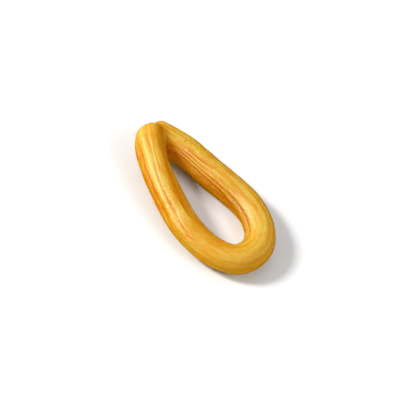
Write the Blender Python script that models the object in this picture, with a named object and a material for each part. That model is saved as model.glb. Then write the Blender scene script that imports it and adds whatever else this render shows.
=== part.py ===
"""A churro: one ridged rope of fried dough, bent into a teardrop loop whose two ends are pressed together.

It lies on its underside, +Z up, with its tip towards +Y and its origin under the middle of its footprint. The
left end is pressed onto the right one, so the left arm rises towards the tip and the right arm lies flat.
"""

import math

import bpy
import numpy as np
from mathutils import Matrix

MM = 0.001  # every size below is in millimetres

# The rope's centre line seen from above, from the left end, round the bend, to the right end.
ROPE_POINTS = (
    (-3.8, 46.0),
    (-12.5, 28.9),
    (-17.3, 10.9),
    (-20.1, -7.7),
    (-18.4, -26.4),
    (-8.1, -42.2),
    (9.1, -41.0),
    (19.1, -25.9),
    (19.2, -7.8),
    (15.9, 10.0),
    (13.1, 27.9),
    (6.4, 46.4),
)
ROPE_RADII = (8.0, 8.5, 8.5, 9.2, 9.2)  # over the ridges, at even steps: the right arm is a little stouter
END_LIFT = 9.0  # how much higher the left end lies than the right one
LIFT_SHARE = 0.4  # the share of the rope's length over which it climbs there
END_DOME = 8.5  # length of each rounded end
FLAT_DEPTH = 0.5  # how much of the underside is flattened off
SEAM_LENGTH = 17.0  # the dough squeezed together between the two ends
SEAM_WIDTH = 12.5
SEAM_THICKNESS = 8.0

# Each groove's place round the rope, in degrees from its outer side (0) over the top (90) to its inner side.
LEFT_ARM_GROOVES = (-24, 2, 28, 56, 84, 108, 140, 175, 210, 245, 280, 310)
BEND_GROOVES = (-46, -20, 8, 40, 58, 77, 104, 138, 174, 208, 242, 278)
RIGHT_ARM_GROOVES = (-32, -4, 27, 58, 80, 99, 119, 147, 184, 218, 250, 286)
GROOVE_STATIONS = (0.2, 0.42, 0.68)  # the shares of the rope's length at which those three sections lie
END_TURN = 12  # degrees by which the grooves turn back over the top at each end

# Each groove's depth. The bend stretches the dough, so the grooves are shallow there. The left arm keeps its
# depths up to the first station, the bend lies between the next two, and the right arm starts at the last.
LEFT_ARM_DEPTHS = (0.5, 0.5, 0.9, 0.8, 0.3, 0.8, 0.3, 0.6, 0.7, 0.7, 0.8, 0.7)
BEND_DEPTHS = (0.3, 0.3, 0.2, 0.2, 0.15, 0.2, 0.15, 0.3, 0.4, 0.4, 0.4, 0.4)
RIGHT_ARM_DEPTHS = (0.6, 0.6, 0.5, 0.5, 0.3, 0.4, 0.4, 0.9, 0.8, 0.8, 0.8, 0.7)
DEPTH_STATIONS = (0.28, 0.38, 0.54, 0.64)
RIDGE_ROUNDNESS = 0.7  # below 1, ridges are broad and grooves narrow

SECTION_STEPS = 4  # points from one groove to the next
RING_STEP = 2.45
DOME_RINGS = 5
SEAM_SIDES = 20

DOUGH_COLOUR = (0.72, 0.34, 0.055, 1.0)
DOUGH_ROUGHNESS = 0.45


def natural_spline(knots, rows, places):
    """A smooth curve through one row of values at each knot, read at the given places."""
    knots = np.array(knots, float)
    rows = np.array(rows, float)
    gaps = np.diff(knots)
    slopes = np.diff(rows, axis=0) / gaps[:, None]
    system = np.eye(len(knots))
    right = np.zeros_like(rows)
    for k in range(1, len(knots) - 1):
        system[k, k - 1 : k + 2] = gaps[k - 1], 2 * (gaps[k - 1] + gaps[k]), gaps[k]
        right[k] = 6 * (slopes[k] - slopes[k - 1])
    bends = np.linalg.solve(system, right)
    k = np.clip(np.searchsorted(knots, places) - 1, 0, len(gaps) - 1)
    gap = gaps[k][:, None]
    passed = (places - knots[k])[:, None]
    ahead = gap - passed
    straight = (rows[k] * ahead + rows[k + 1] * passed) / gap
    curved = bends[k] * ahead * (ahead**2 - gap**2) + bends[k + 1] * passed * (passed**2 - gap**2)
    return straight + curved / (6 * gap)


def smooth_step(value):
    value = np.clip(value, 0.0, 1.0)
    return value * value * (3 - 2 * value)


def lengths_along(points):
    """The distance from the first point to each point."""
    return np.concatenate([[0.0], np.cumsum(np.linalg.norm(np.diff(points, axis=0), axis=1))])


def rope_centre():
    """The centre line at even steps, its directions and radii, and each point's share of the length."""
    chords = lengths_along(np.array(ROPE_POINTS))
    fine = natural_spline(chords, ROPE_POINTS, np.linspace(0, chords[-1], 2001))
    length = lengths_along(fine)
    share = np.linspace(0, 1, round(length[-1] / RING_STEP) + 1)
    plan = [np.interp(share * length[-1], length, fine[:, axis]) for axis in (0, 1)]
    radius = natural_spline(np.linspace(0, 1, len(ROPE_RADII)), np.array(ROPE_RADII)[:, None], share)[:, 0]
    climb = END_LIFT * smooth_step((LIFT_SHARE - share) / LIFT_SHARE)
    centre = np.column_stack([*plan, radius - FLAT_DEPTH + climb])
    along = np.gradient(centre, axis=0)
    along /= np.linalg.norm(along, axis=1)[:, None]
    return centre, along, radius, share


def grooves_at(share):
    """The angle of each groove at one section, in radians, and its depth."""
    left, bend, right = (np.array(row) for row in (LEFT_ARM_GROOVES, BEND_GROOVES, RIGHT_ARM_GROOVES))
    stations = (0.0, *GROOVE_STATIONS, 1.0)
    rows = (left + END_TURN, left, bend, right, right + END_TURN)
    angles = np.radians(natural_spline(stations, rows, np.array([share]))[0])
    depth_rows = zip(LEFT_ARM_DEPTHS, BEND_DEPTHS, BEND_DEPTHS, RIGHT_ARM_DEPTHS)
    return angles, np.array([np.interp(share, DEPTH_STATIONS, depths) for depths in depth_rows])


def section_ring(centre, along, radius, share, size=1.0):
    """The points round one section, from its first groove on. A dome's sections have a smaller size."""
    outward = np.cross(along, (0, 0, 1))
    outward /= np.linalg.norm(outward)
    upward = np.cross(outward, along)
    angles, depths = grooves_at(share)
    next_angles = np.append(angles[1:], angles[0] + 2 * math.pi)
    next_depths = np.roll(depths, -1)
    ring = []
    for step in range(SECTION_STEPS):
        part = step / SECTION_STEPS
        angle = angles + part * (next_angles - angles)
        depth = depths + part * (next_depths - depths)
        reach = size * (radius - depth * (1 - math.sin(math.pi * part) ** RIDGE_ROUNDNESS))
        directions = np.outer(np.cos(angle), outward) + np.outer(np.sin(angle), upward)
        ring.append(centre + reach[:, None] * directions)
    return np.stack(ring, axis=1).reshape(-1, 3)


def dome_rings(centre, along, radius, share, way):
    """The sections of a rounded end, from the rope's last full section out, and the end's own point."""
    rings = []
    for turn in np.linspace(0, math.pi / 2, DOME_RINGS + 2)[1:-1]:
        middle = centre + way * END_DOME * math.sin(turn) * along
        rings.append(section_ring(middle, along, radius, share, math.cos(turn)))
    return rings, centre + way * END_DOME * along


def ring_faces(count, around):
    """The quads between one ring and the next, and the triangles that close the rope at its end points."""
    faces = []
    for start in range(0, (count - 1) * around, around):
        for k in range(around):
            following = (k + 1) % around
            faces.append((start + k, start + around + k, start + around + following, start + following))
    first_end = count * around
    last = first_end - around
    for k in range(around):
        following = (k + 1) % around
        faces.append((first_end, k, following))
        faces.append((first_end + 1, last + following, last + k))
    return faces


def object_of(name, points, faces):
    mesh = bpy.data.meshes.new(name)
    mesh.from_pydata((np.array(points) * MM).tolist(), [], faces)
    thing = bpy.data.objects.new(name, mesh)
    bpy.context.scene.collection.objects.link(thing)
    return thing


def rope(centre, along, radius, share):
    """The closed rope, with its underside flattened to the surface that it lies on."""
    body = [section_ring(*row) for row in zip(centre, along, radius, share)]
    left_dome, left_end = dome_rings(centre[0], along[0], radius[0], share[0], -1)
    right_dome, right_end = dome_rings(centre[-1], along[-1], radius[-1], share[-1], 1)
    rings = left_dome[::-1] + body + right_dome
    points = np.vstack(rings + [left_end, right_end])
    points[:, 2] = np.maximum(points[:, 2], 0.0)
    return object_of("churro", points, ring_faces(len(rings), len(rings[0])))


def seam_between(left, right, left_along, right_along):
    """The dough squeezed up between the two ends, as a rounded pad that fills the bottom of the crease."""
    across = (right - left) / np.linalg.norm(right - left)
    forward = right_along - left_along
    forward -= forward.dot(across) * across
    forward /= np.linalg.norm(forward)
    bpy.ops.mesh.primitive_uv_sphere_add(segments=SEAM_SIDES, ring_count=SEAM_SIDES // 2, radius=0.5)
    seam = bpy.context.object
    seam.name = "seam"
    sizes = np.array([SEAM_THICKNESS, SEAM_WIDTH, SEAM_LENGTH]) * MM
    turn = np.column_stack([across, np.cross(forward, across), forward])
    place = Matrix((turn * sizes).tolist()).to_4x4()
    place.translation = (left + right) / 2 * MM
    seam.data.transform(place)
    seam.hide_render = True
    seam.display_type = "WIRE"
    return seam


def press_together(churro, seam):
    """Joins the rope's two ends and the dough between them into one body."""
    join = churro.modifiers.new("pressed together", "BOOLEAN")
    join.operation = "UNION"
    join.solver = "EXACT"
    join.use_self = True
    join.object = seam


def dough():
    """Golden fried crust."""
    material = bpy.data.materials.new("fried dough")
    material.use_nodes = True
    surface = material.node_tree.nodes["Principled BSDF"]
    surface.inputs["Base Color"].default_value = DOUGH_COLOUR
    surface.inputs["Roughness"].default_value = DOUGH_ROUGHNESS
    return material


def stand_on_origin(things):
    """Moves the points of the things so that the first one's footprint is centred on the origin."""
    points = np.array([point.co for point in things[0].data.vertices])
    middle = (points.min(axis=0) + points.max(axis=0)) / 2
    for thing in things:
        thing.data.transform(Matrix.Translation((-middle[0], -middle[1], 0)))


def main():
    for thing in list(bpy.data.objects):
        bpy.data.objects.remove(thing)
    centre, along, radius, share = rope_centre()
    churro = rope(centre, along, radius, share)
    seam = seam_between(centre[0], centre[-1], along[0], along[-1])
    stand_on_origin([churro, seam])
    press_together(churro, seam)
    churro.data.materials.append(dough())
    churro.data.shade_smooth()


main()
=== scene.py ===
"""Looks of the churro: a fine mesh of the ridged dough with its crust, on a pale floor in soft studio light.

The CAD solid "churro" is replaced by one piece of the same form: the same rope, with the creases, ribs and
bumps of a real crust, and with its two ends kneaded softly into each other. Lengths are in millimetres until
they reach Blender, and angles round the rope run from its outer side (0) over the top (90) to its inner side
(180).
"""

import math
from collections import namedtuple

import bpy
import numpy as np
from mathutils import Matrix, Vector, kdtree, noise


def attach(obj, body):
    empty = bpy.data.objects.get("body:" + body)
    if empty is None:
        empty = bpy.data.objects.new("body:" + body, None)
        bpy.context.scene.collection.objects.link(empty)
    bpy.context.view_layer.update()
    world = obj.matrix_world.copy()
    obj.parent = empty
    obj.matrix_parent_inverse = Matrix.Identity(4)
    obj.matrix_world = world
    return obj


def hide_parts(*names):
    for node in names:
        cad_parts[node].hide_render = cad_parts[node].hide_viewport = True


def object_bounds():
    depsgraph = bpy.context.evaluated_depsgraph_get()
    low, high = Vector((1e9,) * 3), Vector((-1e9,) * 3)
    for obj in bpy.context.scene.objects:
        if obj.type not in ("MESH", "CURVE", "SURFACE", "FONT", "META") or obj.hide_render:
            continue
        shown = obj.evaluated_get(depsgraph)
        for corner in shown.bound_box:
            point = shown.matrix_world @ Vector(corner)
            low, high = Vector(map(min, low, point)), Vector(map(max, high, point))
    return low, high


MM = 0.001

# The rope's centre line seen from above, from the left end, round the bend, to the right end. It is the CAD's
# line, but for the left end, which bends in a little more.
ROPE_POINTS = (
    (-3.3, 45.8),
    (-12.5, 28.9),
    (-17.3, 10.9),
    (-20.1, -7.7),
    (-18.4, -26.4),
    (-8.1, -42.2),
    (9.1, -41.0),
    (19.1, -25.9),
    (19.2, -7.8),
    (15.9, 10.0),
    (13.1, 27.9),
    (6.4, 46.4),
)
FOOTPRINT_MIDDLE = (0.0843, 1.3687)  # the middle of the CAD's footprint, in the coordinates of those points
ROPE_RADII = (8.1, 8.6, 8.5, 9.2, 9.2)  # over the ridges, at even steps
END_LIFT = 9.0  # how much higher the left end lies than the right one
LIFT_SHARE = 0.4  # the share of the rope's length over which it climbs there
FLAT_DEPTH = 0.5  # how much of the underside is flattened off
END_DOMES = (7.2, 6.5)  # lengths of the rounded left and right ends
LEFT_LEAN = 3.5  # how far the tip of the left end leans to its inner side
LEFT_TAPER = 6.5  # how long before its rounded part the left end begins to slim, on its outer side
SLIM_TURN = 0.2  # in radians, how far below the outer side that slimming is strongest

# The twelve grooves that the nozzle leaves. A path is a row of (distance along the rope, angle round it), and
# the depths are a row of (distance, depth): the dough is stretched flat in some places and folded deep in
# others. A breadth of 0.5 is a narrow crease and one of 2 is a wide hollow.
Groove = namedtuple("Groove", "path depths breadth")
GROOVES = (
    Groove(
        path=((0, -12), (40, -24), (85, -46), (138, -32), (203, -20)),
        depths=((0, 0.3), (50, 0.3), (80, 0.25), (110, 0.2), (140, 0.5), (203, 0.3)),
        breadth=0.8,
    ),
    Groove(
        path=((0, -2), (14, 0), (29, 0), (40, -2), (50, -5), (62, -10), (85, -20), (138, -4), (203, 8)),
        depths=((0, 0.2), (18, 0.4), (30, 0.4), (40, 0.3), (70, 0.3), (100, 0.15), (140, 0.4), (203, 0.5)),
        breadth=1.0,
    ),
    Groove(
        path=(
            (0, 16), (8, 24), (15, 31), (22, 31), (30, 27), (40, 24), (50, 20), (60, 12), (72, 6), (85, 5),
            (138, 22), (203, 34),
        ),
        depths=(
            (0, 0.15), (8, 0.3), (45, 0.3), (60, 0.25), (72, 0.25), (85, 0.12), (110, 0.12), (130, 0.4),
            (203, 0.3),
        ),
        breadth=1.8,
    ),
    Groove(
        path=(
            (0, 66), (6, 68), (12, 77), (22, 77), (30, 63), (38, 57), (50, 59), (58, 53), (68, 45), (85, 39),
            (110, 38), (138, 46), (203, 58),
        ),
        depths=(
            (0, 0.3), (6, 0.5), (12, 0.5), (18, 0.25), (30, 0.25), (37, 0.6), (52, 0.6), (70, 0.2),
            (80, 0.08), (110, 0.1), (135, 0.4), (190, 0.4), (203, 0.6),
        ),
        breadth=0.65,
    ),
    Groove(
        path=(
            (0, 92), (15, 86), (27, 82), (45, 88), (60, 76), (75, 62), (110, 64), (125, 71), (138, 70),
            (160, 72), (190, 78), (203, 80),
        ),
        depths=(
            (0, 0.1), (15, 0.25), (28, 0.22), (36, 0.06), (100, 0.06), (126, 0.25), (138, 0.35), (160, 0.2),
            (190, 0.3), (203, 0.6),
        ),
        breadth=0.8,
    ),
    Groove(
        path=(
            (0, 124), (30, 118), (40, 109), (50, 106), (58, 99), (70, 87), (82, 80), (100, 90), (122, 99),
            (136, 101), (148, 98), (156, 95), (162, 98), (168, 106), (176, 112), (183, 111), (203, 100),
        ),
        depths=(
            (0, 0.1), (25, 0.1), (36, 0.15), (52, 0.15), (60, 0.12), (80, 0.12), (110, 0.08), (130, 0.25),
            (150, 0.25), (164, 0.3), (172, 0.5), (182, 0.45), (188, 0.15), (196, 0.15), (203, 0.6),
        ),
        breadth=2.0,
    ),
    Groove(
        path=(
            (0, 152), (28, 146), (55, 124), (68, 116), (85, 104), (110, 112), (138, 116), (160, 119),
            (170, 125), (182, 127), (203, 118),
        ),
        depths=(
            (0, 0.1), (25, 0.1), (40, 0.1), (60, 0.15), (80, 0.12), (150, 0.08), (165, 0.25), (172, 0.45),
            (182, 0.4), (188, 0.1), (196, 0.1), (203, 0.4),
        ),
        breadth=0.8,
    ),
    Groove(
        path=(
            (0, 187), (40, 175), (85, 138), (105, 143), (122, 155), (131, 151), (143, 145), (152, 140),
            (160, 138), (172, 138), (182, 137), (203, 134),
        ),
        depths=(
            (0, 0.3), (40, 0.5), (60, 0.5), (85, 0.2), (110, 0.2), (122, 0.55), (155, 0.6), (165, 0.4),
            (182, 0.5), (188, 0.12), (203, 0.15),
        ),
        breadth=0.8,
    ),
    Groove(
        path=(
            (0, 222), (40, 208), (85, 174), (110, 186), (125, 182), (138, 176), (148, 164), (156, 153),
            (165, 148), (182, 147), (190, 152), (203, 165),
        ),
        depths=(
            (0, 0.4), (60, 0.6), (90, 0.35), (120, 0.35), (140, 0.5), (156, 0.55), (175, 0.4), (203, 0.2),
        ),
        breadth=0.8,
    ),
    Groove(
        path=((0, 257), (40, 245), (85, 208), (138, 212), (203, 205)),
        depths=((0, 0.6), (85, 0.4), (140, 0.8), (203, 0.4)),
        breadth=0.8,
    ),
    Groove(
        path=((0, 292), (40, 280), (85, 242), (138, 248), (203, 252)),
        depths=((0, 0.6), (85, 0.4), (140, 0.8), (203, 0.5)),
        breadth=0.7,
    ),
    Groove(
        path=((0, 322), (40, 312), (85, 278), (138, 278), (203, 290)),
        depths=((0, 0.6), (85, 0.35), (140, 0.7), (203, 0.5)),
        breadth=0.8,
    ),
)
PATH_SMOOTHING = 9.0  # length of the window that rounds the corners of those paths
TIP_HOLLOW = 0.2  # the depth that the rope's two end points count as

# Each row of the next four tables is a patch of the surface: the distance of its middle along the rope, its
# angle round the rope, its length, its spread in degrees and its strength.

# Where the oil has browned the crust, or left it paler, with a strength below zero; many rows paint shade and
# others paint highlights into the colour, as marked.
BROWNED_AND_PAINTED_LIGHT = (
    # painted shade, with some real browning, in the valley where the two ends meet (this row and the next)
    (5, 138, 26, 30, 0.6),
    (194, 140, 12, 24, 0.6),
    (95, 50, 26, 70, -0.12),
    # painted shade, with some real browning, on the right arm's inner side, which is turned away from the key
    (172, 185, 45, 40, 0.6),
    # painted shade, with some real browning, on the left arm's outer side, in two of its grooves and on its
    # inner side (these four rows)
    (34, -2, 32, 20, 0.45),
    (30, 25, 26, 9, 0.45),
    (46, 101, 15, 11, 0.5),
    (42, 114, 24, 16, 0.3),
    (2, 25, 8, 40, -0.3),
    (78, 112, 24, 32, 0.35),
    # painted shade under the bend's lower rim
    (104, 5, 22, 45, 0.35),
    (160, 50, 22, 14, 0.35),
    (150, 118, 12, 30, 0.15),
    # painted highlights, with some paler crust, where the window's shine falls on the crests (these six rows)
    (28, 47, 26, 9, -0.15),
    (30, 78, 26, 10, -0.15),
    (136, 128, 12, 8, -0.2),
    (120, 84, 16, 12, -0.15),
    (146, 90, 10, 12, -0.2),
    (188, 106, 12, 9, -0.2),
)
HOLLOW_PAINTED_SHADE = 0.9  # how much painted shade darkens the crust in a groove, for each millimetre of its depth
# painted shade in the crease where the two ends are pressed together
SEAM_PAINTED_SHADE = 0.1

# Where the rope is less full. Here the strength is a depth, and the rope is fuller where it is below zero.
SUNKEN = (
    (10, -10, 8, 40, -0.6),
    (70, -30, 12, 35, 0.6),
    (89, -25, 8, 35, 0.5),
    (46, 103, 16, 11, 0.35),
    (107, -5, 11, 45, -0.7),
)

# Where the crust is coarse.
ROUGHENED = (
    (178, 80, 26, 24, 1.0),
    (50, -12, 30, 16, 0.9),
    (52, 124, 26, 10, 0.9),
    (118, 170, 20, 26, 0.8),
    (160, 165, 25, 18, 0.6),
    (95, -40, 30, 25, 0.8),
)

# Where the crust's colour is less streaked.
STREAKINESS = 1.4
EVEN_COLOURED = (
    (95, 40, 28, 70, -0.8),
    (10, 60, 14, 60, -0.5),
    (198, 90, 12, 60, -0.5),
)

# The dough's own unevenness: how far it stands out, and how quickly it changes along and across the rope.
RIB_HEIGHT = 0.08
RIB_SCALE = (0.05, 0.9, 0.9)
LUMP_HEIGHT = 0.22
LUMP_SCALE = (0.09, 0.22, 0.22)
CRUST_HEIGHT = 0.08
COARSE_CRUST_HEIGHT = 0.35
CRUST_SCALE = (0.8, 0.8, 0.8)
LUMP_SHIFT = 7.0  # the shifts keep one pattern from repeating another
CRUST_SHIFT = 3.0

# The fine mesh.
SPLINE_STEPS = 2000
SECTION_STEPS = 12  # points from one groove to the next
RING_STEP = 0.46
DOME_RINGS = 16
END_SHARE = 0.25  # the share of the rope's length, at each end, that lies near the other end
BLEND_REACH = 8.0  # how far from each other the two ends' surfaces begin to melt together
BLEND_SWELL = 2.0  # how far they swell where they touch
SEAM_SOFTNESS = 4.5
SEAM_PASSES = 160
SEAM_RELAXING = 0.5

# The Boolean needs a second body, so it gets a tiny pin, deep inside the dough.
PIN_SIZE = 0.5
PIN_CORNERS = ((0, 0, 0), (1, 0, 0), (0, 1, 0), (0, 0, 1))
PIN_FACES = ((0, 2, 1), (0, 1, 3), (1, 2, 3), (0, 3, 2))

# The crust's colour from pale to dark: the pale end is hardly fried crust and painted highlight, the dark end
# browned crust and painted shade.
CRUST_COLOURS = (
    (0.0, (0.64, 0.46, 0.088)),
    (0.2, (0.64, 0.39, 0.045)),
    (0.45, (0.61, 0.31, 0.013)),
    (0.7, (0.575, 0.235, 0.003)),
    (1.0, (0.52, 0.17, 0.001)),
)
PLAIN_TONE = 0.2  # the place in that row of the crust outside every patch

# The patterns in the crust: how fine each is along and across the rope, its detail and its shift.
Pattern = namedtuple("Pattern", "scale detail shift")
STREAKS = Pattern((0.1, 1.1, 1.1), 4.0, 0.0)
SPECKLES = Pattern((0.8, 1.2, 1.2), 4.0, 5.0)
STAINS = Pattern((0.08, 0.12, 0.12), 2.0, 11.0)
FINE_RIBS = Pattern((0.25, 1.6, 1.6), 3.0, 17.0)
PORES = Pattern((1.3, 1.3, 1.3), 3.0, 23.0)
SPECKLE_SHARE = 0.8  # the speckles' strength in the colour, where the streaks have 1
STAIN_STRENGTH = 0.5
BUMP_STRENGTH = 0.7
BUMP_DEPTH = 0.3

# How the dough takes the light: its dullness, its shine, and how deep the light spreads in it.
ROUGHNESS = 0.18
SPECKLE_ROUGHNESS = 0.14
SHINE = 0.35
SCATTER_DEPTH = 6.0
SCATTER_SHARES = (2.2, 0.5, 0.1)  # the shares of that depth that red, green and blue light reach

CAMERA_SIDE = (-0.51, -0.315, 0.80)  # the direction from the churro to the camera
CAMERA_RIGHT = (0.743, -0.629, 0.229)  # the direction that points to the right in its image
CAMERA_AIM = (-1.0, -2.35, 8.3)
CAMERA_DISTANCE = 700.0
CAMERA_LENS = 112.0

# The lamps: the direction from the churro to each, its width and height in metres, and its power. The key and
# the fill don't show in the crust's shine, and the window shows only there.
Lamp = namedtuple("Lamp", "direction size power")
KEY = Lamp((-0.517, 0.595, 0.616), (0.8, 0.8), 168.0)
TOP = Lamp((0.1, 0.3, 0.95), (3.0, 3.0), 22.0)
FILL = Lamp((0.2, -0.6, 0.7), (2.0, 2.0), 45.0)
WINDOW = Lamp((-0.612, 0.513, 0.602), (3.6, 1.4), 350.0)
WINDOW_COLOUR = (1.0, 0.98, 0.85)
LAMP_DISTANCE = 4.0  # metres, far enough to light the floor round the churro evenly
ROOM_LIGHT = 0.38
ROOM_LIGHT_IN_SHINE = 0.01
FLOOR_REACH = 6.0  # metres
FLOOR_COLOUR = (0.8, 0.8, 0.805, 1)
FLOOR_ROUGHNESS = 0.9

Line = namedtuple("Line", "centre along radius share length")


def natural_spline(knots, rows, places):
    """A smooth curve through one row of values at each knot, read at the given places."""
    knots = np.array(knots, float)
    rows = np.array(rows, float)
    gaps = np.diff(knots)
    slopes = np.diff(rows, axis=0) / gaps[:, None]
    system = np.eye(len(knots))
    right = np.zeros_like(rows)
    for k in range(1, len(knots) - 1):
        system[k, k - 1 : k + 2] = gaps[k - 1], 2 * (gaps[k - 1] + gaps[k]), gaps[k]
        right[k] = 6 * (slopes[k] - slopes[k - 1])
    bends = np.linalg.solve(system, right)
    k = np.clip(np.searchsorted(knots, places) - 1, 0, len(gaps) - 1)
    gap = gaps[k][:, None]
    passed = (places - knots[k])[:, None]
    ahead = gap - passed
    straight = (rows[k] * ahead + rows[k + 1] * passed) / gap
    curved = bends[k] * ahead * (ahead**2 - gap**2) + bends[k + 1] * passed * (passed**2 - gap**2)
    return straight + curved / (6 * gap)


def smooth_step(value):
    value = np.clip(value, 0.0, 1.0)
    return value * value * (3 - 2 * value)


def lengths_along(points):
    """The distance from the first point to each point."""
    return np.concatenate([[0.0], np.cumsum(np.linalg.norm(np.diff(points, axis=0), axis=1))])


def rope_centre():
    """The centre line at even steps, with its directions, radii, shares of the length, and its length."""
    chords = lengths_along(np.array(ROPE_POINTS))
    fine = natural_spline(chords, ROPE_POINTS, np.linspace(0, chords[-1], SPLINE_STEPS + 1))
    length = lengths_along(fine)
    share = np.linspace(0, 1, round(length[-1] / RING_STEP) + 1)
    plan = [np.interp(share * length[-1], length, fine[:, axis]) for axis in (0, 1)]
    radius = natural_spline(np.linspace(0, 1, len(ROPE_RADII)), np.array(ROPE_RADII)[:, None], share)[:, 0]
    climb = END_LIFT * smooth_step((LIFT_SHARE - share) / LIFT_SHARE)
    centre = np.column_stack([*plan, radius - FLAT_DEPTH + climb])
    along = np.gradient(centre, axis=0)
    along /= np.linalg.norm(along, axis=1)[:, None]
    return Line(centre, along, radius, share, length[-1])


def smoothed_path(knots, distance):
    """The value along the rope that goes through the knots, with its corners rounded."""
    step = distance[1] - distance[0]
    reach = round(PATH_SMOOTHING / 2 / step)
    window = np.hanning(2 * reach + 3)[1:-1]
    wide = np.arange(-reach, len(distance) + reach) * step
    return np.convolve(np.interp(wide, *zip(*knots)), window / window.sum(), mode="valid")


def grooves_along(distance):
    """The angles and depths of the grooves, one row for each section."""
    angles = np.column_stack([smoothed_path(groove.path, distance) for groove in GROOVES])
    depths = np.column_stack([smoothed_path(groove.depths, distance) for groove in GROOVES])
    return np.radians(angles), depths


def noise_at(places, scale, shift=0.0):
    """Smooth noise of about -1 to 1 at each of the places."""
    flat = (places * scale + shift).reshape(-1, 3)
    found = np.fromiter((noise.noise(Vector(place)) for place in flat.tolist()), float, len(flat))
    return found.reshape(places.shape[:-1])


def patches(table, places):
    """The sum of the table's patches at each place on the rope."""
    angle = np.degrees(np.arctan2(places[..., 2], places[..., 1]))
    total = np.zeros(angle.shape)
    for middle, side, length, spread, strength in table:
        turn = (angle - side + 180) % 360 - 180
        total += strength * np.exp(-(((places[..., 0] - middle) / length) ** 2) - (turn / spread) ** 2)
    return total


def sections(line):
    """For each section of the rope, the angle, the reach, the place and the hollow of each of its points.

    A place is a point of the straightened rope: the distance along it, and where it lies in its section.
    """
    distance = line.share * line.length
    radius = line.radius[:, None]
    angles, depths = grooves_along(distance)
    following = np.concatenate([angles[:, 1:], angles[:, :1] + 2 * math.pi], axis=1)
    part = np.arange(SECTION_STEPS) / SECTION_STEPS
    angle = (angles[:, :, None] + part * (following - angles)[:, :, None]).reshape(len(distance), -1)
    ridge = np.sin(math.pi * part)
    breadth = np.array([groove.breadth for groove in GROOVES])[:, None]
    near = np.where(part < 0.5, 1 - ridge**breadth, 0.0)
    far = np.where(part < 0.5, 0.0, 1 - ridge ** np.roll(breadth, -1, axis=0))
    hollow = depths[:, :, None] * near + np.roll(depths, -1, axis=1)[:, :, None] * far
    hollow = hollow.reshape(len(distance), -1)
    passed = np.broadcast_to(distance[:, None], angle.shape)
    places = np.stack([passed, radius * np.cos(angle), radius * np.sin(angle)], axis=-1)
    ribs = RIB_HEIGHT * noise_at(places, RIB_SCALE)
    lumps = LUMP_HEIGHT * noise_at(places, LUMP_SCALE, LUMP_SHIFT)
    crust_height = CRUST_HEIGHT + COARSE_CRUST_HEIGHT * patches(ROUGHENED, places)
    crust = crust_height * noise_at(places, CRUST_SCALE, CRUST_SHIFT)
    reach = radius - hollow - patches(SUNKEN, places) + ribs + lumps + crust
    return angle, reach, places, hollow


def left_end_size(angle, distance):
    """The share of its full size that the left end has at a distance along the rope, for each angle."""
    blunt = max(0.0, -distance / END_DOMES[0])
    slim = max(0.0, (LEFT_TAPER - distance) / (LEFT_TAPER + END_DOMES[0]))
    outer = 0.5 + 0.5 * np.cos(angle + SLIM_TURN)
    return outer * math.sqrt(1 - slim**2) + (1 - outer) * math.sqrt(1 - blunt**2)


def rope(line):
    """The whole rope: its points and faces, with each point's place on the straightened rope and hollow."""
    angle, reach, places, hollow = sections(line)
    outward = np.cross(line.along, (0, 0, 1))
    outward /= np.linalg.norm(outward, axis=1)[:, None]
    upward = np.cross(outward, line.along)

    def ring(at, middle, size):
        directions = np.outer(np.cos(angle[at]), outward[at]) + np.outer(np.sin(angle[at]), upward[at])
        return middle + (size * reach[at])[:, None] * directions

    rings = []
    for at, middle in enumerate(line.centre):
        size = left_end_size(angle[at], line.share[at] * line.length)
        rings.append((ring(at, middle, size), places[at], hollow[at]))
    for turn in np.linspace(0, math.pi / 2, DOME_RINGS + 2)[1:-1]:
        narrowed = (1, math.cos(turn), math.cos(turn))
        left, right = (dome * math.sin(turn) for dome in END_DOMES)
        middle = line.centre[0] - left * line.along[0] - LEFT_LEAN * math.sin(turn) ** 2 * outward[0]
        points = ring(0, middle, left_end_size(angle[0], -left))
        rings.insert(0, (points, places[0] * narrowed - (left, 0, 0), hollow[0]))
        points = ring(-1, line.centre[-1] + right * line.along[-1], math.cos(turn))
        rings.append((points, places[-1] * narrowed + (right, 0, 0), hollow[-1]))
    left_tip = line.centre[0] - END_DOMES[0] * line.along[0] - LEFT_LEAN * outward[0]
    right_tip = line.centre[-1] + END_DOMES[1] * line.along[-1]
    tip_places = [(-END_DOMES[0], 0, 0), (line.length + END_DOMES[1], 0, 0)]

    ring_points, ring_places, ring_hollows = zip(*rings)
    points = np.vstack([*ring_points, left_tip, right_tip])
    points[:, 2] = np.maximum(points[:, 2], 0.0)
    places = np.vstack([*ring_places, *tip_places])
    hollow = np.concatenate([*ring_hollows, [TIP_HOLLOW, TIP_HOLLOW]])
    return points, ring_faces(len(rings), angle.shape[1]), places, hollow


def ring_faces(count, around):
    """The quads between one ring and the next, and the triangles that close the rope at its end points."""
    starts = np.arange(count - 1)[:, None] * around
    here = np.arange(around)[None, :]
    following = (here + 1) % around
    quads = [starts + here, starts + around + here, starts + around + following, starts + following]
    faces = np.stack(quads, axis=-1).reshape(-1, 4).tolist()
    first_end = count * around
    last = first_end - around
    for k in range(around):
        faces.append((first_end, k, (k + 1) % around))
        faces.append((first_end + 1, last + (k + 1) % around, last + k))
    return faces


def distance_to(points, centre, radius):
    """How far each point lies outside a rope with this centre line."""
    nearest = np.full(len(points), np.inf)
    for middle, size in zip(centre, radius):
        nearest = np.minimum(nearest, np.linalg.norm(points - middle, axis=1) - size)
    return nearest


def other_arm_distance(points, places, line):
    """How far each point near one end lies from the surface near the other, read at every second section."""
    found = np.full(len(points), np.inf)
    left = line.share < END_SHARE
    right = line.share > 1 - END_SHARE
    on_left = places[:, 0] < END_SHARE * line.length
    on_right = places[:, 0] > (1 - END_SHARE) * line.length
    found[on_left] = distance_to(points[on_left], line.centre[right][::2], line.radius[right][::2])
    found[on_right] = distance_to(points[on_right], line.centre[left][::2], line.radius[left][::2])
    return found


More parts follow.
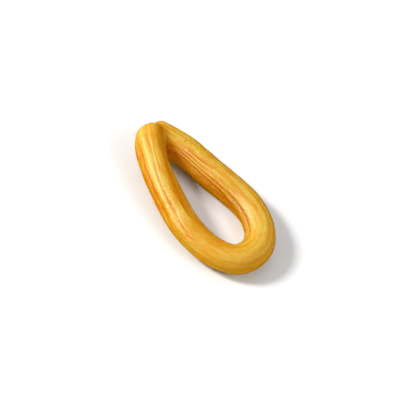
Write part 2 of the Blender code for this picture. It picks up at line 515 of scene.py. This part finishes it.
def vertex_normals(points, faces):
    mesh = bpy.data.meshes.new("normals")
    mesh.from_pydata(points.tolist(), [], faces)
    normals = np.empty(len(points) * 3, np.float32)
    mesh.vertex_normals.foreach_get("vector", normals)
    bpy.data.meshes.remove(mesh)
    return normals.reshape(-1, 3)


def object_of(name, points, faces):
    """A mesh object, from points in metres."""
    mesh = bpy.data.meshes.new(name)
    mesh.from_pydata(np.array(points).tolist(), [], faces)
    thing = bpy.data.objects.new(name, mesh)
    bpy.context.scene.collection.objects.link(thing)
    return thing


def press_together(crust, inside):
    """Joins the overlapping ends into one surface, with the help of the pin at a place inside the dough."""
    pin = object_of("pin", np.array(PIN_CORNERS) * (PIN_SIZE * MM) + inside * MM, PIN_FACES)
    join = crust.modifiers.new("pressed together", "BOOLEAN")
    join.operation = "UNION"
    join.solver = "EXACT"
    join.use_self = True
    join.object = pin
    joined = bpy.data.meshes.new_from_object(crust.evaluated_get(bpy.context.evaluated_depsgraph_get()))
    crust.modifiers.clear()
    crust.data = joined
    bpy.data.objects.remove(pin)


def nearest_points(mesh, points):
    """For each point of the mesh, the index of the nearest of the given points."""
    tree = kdtree.KDTree(len(points))
    for index, point in enumerate(points.tolist()):
        tree.insert(point, index)
    tree.balance()
    return np.array([tree.find(vertex.co)[1] for vertex in mesh.vertices])


def soften(mesh, weight, passes):
    """Smooths the mesh where the weight is above zero."""
    count = len(mesh.vertices)
    points = np.empty(count * 3, np.float32)
    mesh.vertices.foreach_get("co", points)
    points = points.reshape(-1, 3).astype(float)
    edges = np.empty(len(mesh.edges) * 2, np.int32)
    mesh.edges.foreach_get("vertices", edges)
    a, b = edges.reshape(-1, 2).T
    degree = np.bincount(a, minlength=count) + np.bincount(b, minlength=count)
    for _ in range(passes):
        sums = [np.bincount(a, points[b, k], count) + np.bincount(b, points[a, k], count) for k in range(3)]
        neighbours = np.stack(sums, axis=1) / degree[:, None]
        points += weight[:, None] * SEAM_RELAXING * (neighbours - points)
    mesh.vertices.foreach_set("co", points.astype(np.float32).ravel())
    mesh.update()


def set_attribute(mesh, name, values):
    """Gives each point of the mesh a number or a vector that the material reads."""
    kind, field = ("FLOAT", "value") if values.ndim == 1 else ("FLOAT_VECTOR", "vector")
    attribute = mesh.attributes.new(name, kind, "POINT")
    attribute.data.foreach_set(field, values.astype(np.float32).ravel())


def churro(cad_box):
    """The churro's whole surface, standing where the CAD does."""
    line = rope_centre()
    points, faces, places, hollow = rope(line)
    gap = other_arm_distance(points, places, line)
    melt = np.clip(1 - gap / BLEND_REACH, 0, 1) ** 2 * BLEND_SWELL
    points = points + melt[:, None] * vertex_normals(points, faces)
    points[:, 2] = np.maximum(points[:, 2], 0.0)
    crust = object_of("churro_crust", points * MM, faces)
    press_together(crust, (line.centre[0] + line.centre[-1]) / 2)
    mesh = crust.data
    nearest = nearest_points(mesh, points * MM)
    places = places[nearest]
    seam = np.exp(-((gap[nearest] / SEAM_SOFTNESS) ** 4))
    soften(mesh, seam, SEAM_PASSES)
    # real browning, with painted shade in the grooves, in the seam and on the shaded sides, and painted
    # highlights on some crests
    browning_and_painted_light = patches(BROWNED_AND_PAINTED_LIGHT, places) + HOLLOW_PAINTED_SHADE * hollow[nearest] + SEAM_PAINTED_SHADE * seam
    set_attribute(mesh, "rope_place", places)
    set_attribute(mesh, "browning_and_painted_light", browning_and_painted_light)
    set_attribute(mesh, "streaked", STREAKINESS + patches(EVEN_COLOURED, places))
    mesh.shade_smooth()
    low, high = (np.array(corner) for corner in cad_box)
    shift = (low + high)[:2] / 2 - np.array(FOOTPRINT_MIDDLE) * MM
    mesh.transform(Matrix.Translation((*shift, low[2])))
    return crust


def dough():
    """Fried crust, a little translucent and lightly oiled, with painted shade and painted highlights in its
    colour.
    """
    material = bpy.data.materials.new("fried_dough")
    material.use_nodes = True
    nodes, links = material.node_tree.nodes, material.node_tree.links
    surface = nodes["Principled BSDF"]
    surface.inputs["Subsurface Weight"].default_value = 1.0
    surface.inputs["Subsurface Radius"].default_value = SCATTER_SHARES
    surface.inputs["Subsurface Scale"].default_value = SCATTER_DEPTH * MM
    surface.inputs["Specular IOR Level"].default_value = SHINE

    def attribute(name, output):
        node = nodes.new("ShaderNodeAttribute")
        node.attribute_name = name
        return node.outputs[output]

    def maths(operation, *values):
        node = nodes.new("ShaderNodeMath")
        node.operation = operation
        for socket, value in zip(node.inputs, values):
            if isinstance(value, (int, float)):
                socket.default_value = value
            else:
                links.new(value, socket)
        return node.outputs["Value"]

    def pattern(kind):
        place = nodes.new("ShaderNodeVectorMath")
        place.operation = "MULTIPLY_ADD"
        links.new(attribute("rope_place", "Vector"), place.inputs[0])
        place.inputs[1].default_value = kind.scale
        place.inputs[2].default_value = (kind.shift, kind.shift, kind.shift)
        texture = nodes.new("ShaderNodeTexNoise")
        texture.inputs["Scale"].default_value = 1.0
        texture.inputs["Detail"].default_value = kind.detail
        links.new(place.outputs["Vector"], texture.inputs["Vector"])
        return texture.outputs["Fac"]

    def centred(value):
        return maths("SUBTRACT", value, 0.5)

    speckles = pattern(SPECKLES)
    uneven = maths("ADD", centred(pattern(STREAKS)), maths("MULTIPLY", centred(speckles), SPECKLE_SHARE))
    # The crust's tone: its browning, painted shade and painted highlights, with streaks, speckles and stains.
    tone = maths("ADD", attribute("browning_and_painted_light", "Fac"), maths("MULTIPLY", uneven, attribute("streaked", "Fac")))
    tone = maths("ADD", tone, maths("MULTIPLY", centred(pattern(STAINS)), STAIN_STRENGTH))
    ramp = nodes.new("ShaderNodeValToRGB")
    first, *middle, last = CRUST_COLOURS
    ramp.color_ramp.elements[0].color = (*first[1], 1.0)
    ramp.color_ramp.elements[1].color = (*last[1], 1.0)
    for place, colour in middle:
        ramp.color_ramp.elements.new(place).color = (*colour, 1.0)
    links.new(maths("ADD", tone, PLAIN_TONE), ramp.inputs["Fac"])
    links.new(ramp.outputs["Color"], surface.inputs["Base Color"])
    roughness = maths("ADD", ROUGHNESS, maths("MULTIPLY", speckles, SPECKLE_ROUGHNESS))
    links.new(roughness, surface.inputs["Roughness"])
    bump = nodes.new("ShaderNodeBump")
    bump.inputs["Strength"].default_value = BUMP_STRENGTH
    bump.inputs["Distance"].default_value = BUMP_DEPTH * MM
    links.new(maths("ADD", pattern(FINE_RIBS), pattern(PORES)), bump.inputs["Height"])
    links.new(bump.outputs["Normal"], surface.inputs["Normal"])
    return material


def camera():
    towards = Vector(CAMERA_SIDE).normalized()
    right = Vector(CAMERA_RIGHT)
    right = (right - right.dot(towards) * towards).normalized()
    turn = Matrix((right, towards.cross(right), towards)).transposed().to_4x4()
    data = bpy.data.cameras.new("camera")
    data.lens = CAMERA_LENS
    thing = bpy.data.objects.new("camera", data)
    bpy.context.scene.collection.objects.link(thing)
    thing.matrix_world = Matrix.Translation((Vector(CAMERA_AIM) + CAMERA_DISTANCE * towards) * MM) @ turn
    bpy.context.scene.camera = thing


def lights():
    """An even white room, which hardly shows in the crust's shine, and four lamps."""
    world = bpy.data.worlds.new("studio")
    bpy.context.scene.world = world
    world.use_nodes = True
    nodes, links = world.node_tree.nodes, world.node_tree.links
    nodes["Background"].inputs["Color"].default_value = (1, 1, 1, 1)
    path = nodes.new("ShaderNodeLightPath")
    strength = nodes.new("ShaderNodeMapRange")
    strength.inputs["To Min"].default_value = ROOM_LIGHT
    strength.inputs["To Max"].default_value = ROOM_LIGHT_IN_SHINE
    links.new(path.outputs["Is Glossy Ray"], strength.inputs["Value"])
    links.new(strength.outputs["Result"], nodes["Background"].inputs["Strength"])
    softbox("key", KEY).visible_glossy = False
    softbox("top", TOP)
    softbox("fill", FILL).visible_glossy = False
    window = softbox("window", WINDOW)
    window.visible_diffuse = False
    window.data.color = WINDOW_COLOUR


def softbox(name, kind):
    """A broad lamp that shines on the churro."""
    data = bpy.data.lights.new(name, "AREA")
    data.energy = kind.power
    data.shape = "RECTANGLE"
    data.size, data.size_y = kind.size
    lamp = bpy.data.objects.new(name, data)
    bpy.context.scene.collection.objects.link(lamp)
    towards = Vector(kind.direction).normalized()
    side = Vector((0, 0, 1)).cross(towards).normalized()
    turn = Matrix((side, towards.cross(side), towards)).transposed().to_4x4()
    lamp.matrix_world = Matrix.Translation(towards * LAMP_DISTANCE) @ turn
    return lamp


def floor():
    signs = ((-1, -1), (1, -1), (1, 1), (-1, 1))
    corners = [(x * FLOOR_REACH, y * FLOOR_REACH, 0) for x, y in signs]
    thing = object_of("floor", corners, [(0, 1, 2, 3)])
    material = bpy.data.materials.new("floor")
    material.use_nodes = True
    surface = material.node_tree.nodes["Principled BSDF"]
    surface.inputs["Base Color"].default_value = FLOOR_COLOUR
    surface.inputs["Roughness"].default_value = FLOOR_ROUGHNESS
    thing.data.materials.append(material)
    thing.visible_glossy = False


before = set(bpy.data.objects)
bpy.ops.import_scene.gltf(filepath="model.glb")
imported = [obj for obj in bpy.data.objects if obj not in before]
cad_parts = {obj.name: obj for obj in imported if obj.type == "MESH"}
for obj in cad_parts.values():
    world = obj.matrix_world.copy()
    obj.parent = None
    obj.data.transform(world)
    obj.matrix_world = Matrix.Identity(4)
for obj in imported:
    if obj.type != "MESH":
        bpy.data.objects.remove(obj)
cad_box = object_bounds()
camera()
lights()
floor()
crust = churro(cad_box)
crust.data.materials.append(dough())
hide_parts("churro")
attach(crust, "root")
bpy.context.scene.view_settings.view_transform = "Standard"
